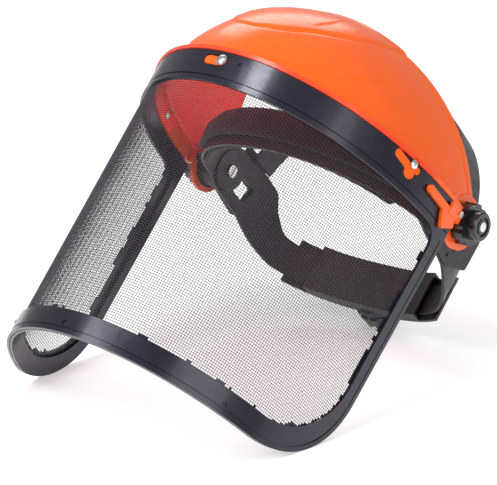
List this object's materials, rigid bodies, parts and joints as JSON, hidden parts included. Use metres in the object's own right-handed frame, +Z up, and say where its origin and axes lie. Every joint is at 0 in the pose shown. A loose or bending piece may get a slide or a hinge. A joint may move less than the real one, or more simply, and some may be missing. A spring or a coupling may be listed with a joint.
{
  "type": "face shield",
  "caption": "Wire-mesh face shield: tilting brow guard on two clamp-knob pivots, headband with sweatband and crown strap, and a ratchet nape adjuster.",
  "frame": {"origin": "middle of the footprint, on the surface it rests on", "axes": "+X the wearer's left, across the pivots; +Y from the visor towards the nape; +Z up. The headgear leans 45.9 degrees forward at rest, on the visor's two lower corners and the ratchet knob."},
  "size_m": [0.2396, 0.333, 0.2299],
  "materials": {
    "black_strap": "flexible moulded plastic, satin",
    "black_plastic": "moulded plastic, satin",
    "foam": "cloth-faced foam, matt",
    "steel": "bright plated steel",
    "orange_shell": "glossy moulded plastic",
    "gloss_black": "glossy moulded plastic",
    "wire_mesh": "black coated woven wire",
    "white_plastic": "moulded plastic"
  },
  "bodies": {
    "headgear": {"headband": "black_strap", "ear_plate_left": "black_plastic", "ear_plate_right": "black_plastic", "sweatband": "foam", "pivot_bolt_left": "steel", "pivot_bolt_right": "steel", "pivot_washers": "black_plastic", "nape_sleeve": "black_plastic", "ratchet_cover": "black_plastic"},
    "browguard": {"browguard_shell": "orange_shell", "visor_frame_outer": "gloss_black", "visor_frame_inner": "gloss_black", "visor_mesh": "wire_mesh", "visor_rivets": "steel", "hook_rivets": "steel", "visor_studs": "steel"},
    "knob_left": {"pivot_knob_left": "gloss_black"},
    "knob_right": {"pivot_knob_right": "gloss_black"},
    "ratchet": {"ratchet_knob": "gloss_black", "ratchet_pinion": "white_plastic"},
    "rack_left": {"ratchet_rack_left": "black_strap"},
    "rack_right": {"ratchet_rack_right": "black_strap"},
    "crown": {"crown_strap_left": "black_strap", "crown_strap_right": "black_strap"}
  },
  "joints": [
    {"name": "browguard_tilt", "type": "hinge", "parent": "headgear", "child": "browguard", "pos_m": [0, 0.08177, 0.10384], "axis": [-1, 0, 0], "range_deg": [0, 85]},
    {"name": "knob_left_turn", "type": "hinge", "parent": "headgear", "child": "knob_left", "pos_m": [0.112, 0.08177, 0.10384], "axis": [1, 0, 0], "range_deg": [0, 360]},
    {"name": "knob_right_turn", "type": "hinge", "parent": "headgear", "child": "knob_right", "pos_m": [-0.112, 0.08177, 0.10384], "axis": [-1, 0, 0], "range_deg": [0, 360]},
    {"name": "ratchet_turn", "type": "hinge", "parent": "headgear", "child": "ratchet", "pos_m": [0, 0.13943, 0.01489], "axis": [0, -0.6959, 0.7181], "range_deg": [0, 137]},
    {"name": "rack_left_slide", "type": "slide", "parent": "headgear", "child": "rack_left", "axis": [-1, 0, 0], "range_m": [0, 0.012]},
    {"name": "rack_right_slide", "type": "slide", "parent": "headgear", "child": "rack_right", "axis": [1, 0, 0], "range_m": [0, 0.012]},
    {"name": "crown_height", "type": "slide", "parent": "headgear", "child": "crown", "axis": [0, 0.7181, 0.6959], "range_m": [0, 0.008]}
  ],
  "couplings": [
    {"joint": "rack_left_slide", "follows": "ratchet_turn", "m_per_rad": 0.005},
    {"joint": "rack_right_slide", "follows": "ratchet_turn", "m_per_rad": 0.005}
  ]
}
